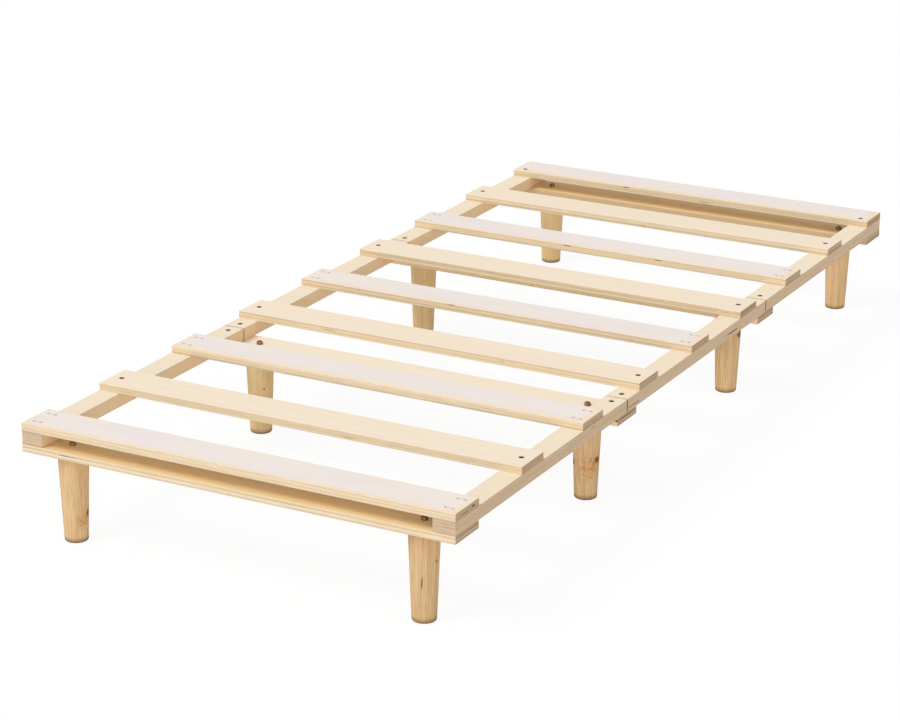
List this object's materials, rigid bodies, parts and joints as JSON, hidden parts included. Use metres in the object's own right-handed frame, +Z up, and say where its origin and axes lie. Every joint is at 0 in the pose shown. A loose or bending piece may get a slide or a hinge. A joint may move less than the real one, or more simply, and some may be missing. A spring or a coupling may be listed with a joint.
{
  "type": "wooden bed frame",
  "caption": "Low slatted wooden bed frame: flat cross slats bolted and stapled onto sectioned side rails, carried by cross boards on round tapered legs.",
  "frame": {"origin": "on the floor, under the middle of the bed", "axes": "+X across the bed, towards the right-hand side rail seen from the front end; +Y along the bed, from the front end to the back end; +Z up"},
  "size_m": [0.85, 1.95, 0.216],
  "materials": {
    "slat_veneer_pale": "sanded, unfinished; palest veneer, faintly lilac",
    "slat_veneer_cream": "sanded, unfinished; cream veneer",
    "rail_laminate": "sanded laminated veneer lumber, ply lines on its sides",
    "board_laminate": "sanded laminated veneer lumber, ply lines on its edges",
    "leg_pine": "turned pine, clear satin",
    "bronzed_steel": "dark bronze plated steel",
    "zinc_steel": "zinc plated steel",
    "staple_steel": "galvanised steel wire"
  },
  "bodies": {
    "root": {"board_insert_nuts": "zinc_steel", "cross_board_back": "board_laminate", "cross_board_front": "board_laminate", "cross_board_joint_1": "board_laminate", "cross_board_joint_2": "board_laminate", "front_board_screws": "zinc_steel", "joint_bolts": "bronzed_steel", "last_slat_bolts": "bronzed_steel", "leg_back_left": "leg_pine", "leg_back_right": "leg_pine", "leg_flange_nuts": "bronzed_steel", "leg_front_left": "leg_pine", "leg_front_right": "leg_pine", "leg_hanger_bolts": "bronzed_steel", "leg_joint_1_left": "leg_pine", "leg_joint_1_right": "leg_pine", "leg_joint_2_left": "leg_pine", "leg_joint_2_right": "leg_pine", "rail_insert_nuts": "zinc_steel", "rail_left_back": "rail_laminate", "rail_left_front": "rail_laminate", "rail_left_middle": "rail_laminate", "rail_right_back": "rail_laminate", "rail_right_front": "rail_laminate", "rail_right_middle": "rail_laminate", "slat_1": "slat_veneer_pale", "slat_2": "slat_veneer_cream", "slat_3": "slat_veneer_pale", "slat_4": "slat_veneer_cream", "slat_5": "slat_veneer_pale", "slat_6": "slat_veneer_cream", "slat_7": "slat_veneer_pale", "slat_8": "slat_veneer_cream", "slat_9": "slat_veneer_pale", "slat_bolts": "bronzed_steel", "slat_staples": "staple_steel"}
  },
  "joints": []
}
